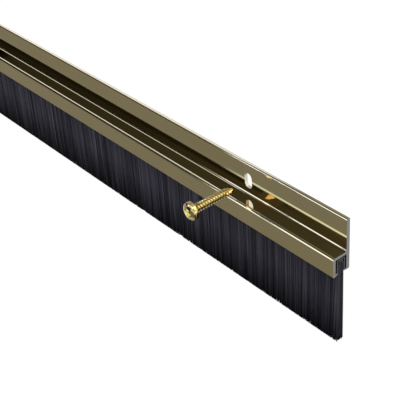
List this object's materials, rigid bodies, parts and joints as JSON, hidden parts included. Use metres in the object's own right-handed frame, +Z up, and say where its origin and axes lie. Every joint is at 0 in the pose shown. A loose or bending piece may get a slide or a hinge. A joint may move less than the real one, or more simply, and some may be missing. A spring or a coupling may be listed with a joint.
{
  "type": "door brush seal",
  "caption": "Gold aluminium carrier with a tall slotted flange and a hooked channel that holds a black strip brush, screwed to a door's face to seal the gap below it.",
  "frame": {"origin": "on the back face of the flange, at mid-length and at the height of the slots' centres", "axes": "+X along the seal and the door's bottom edge, +Y into the door, +Z up; the brush hangs towards -Z and the front faces -Y"},
  "size_m": [0.914, 0.0359, 0.0609],
  "materials": {
    "gold_aluminium": "polished and anodised gold, bare metal at the two cut ends",
    "backing_steel": "dull dark galvanised strip",
    "wire_steel": "dull drawn wire",
    "black_filament": "straight black filaments with a slight sheen",
    "plated_screw": "bright yellow plating"
  },
  "bodies": {
    "root": {"carrier": "gold_aluminium", "brush_backing": "backing_steel", "core_wire": "wire_steel", "bristles": "black_filament", "screw_1": "plated_screw", "screw_2": "plated_screw", "screw_3": "plated_screw", "screw_4": "plated_screw"}
  },
  "joints": []
}
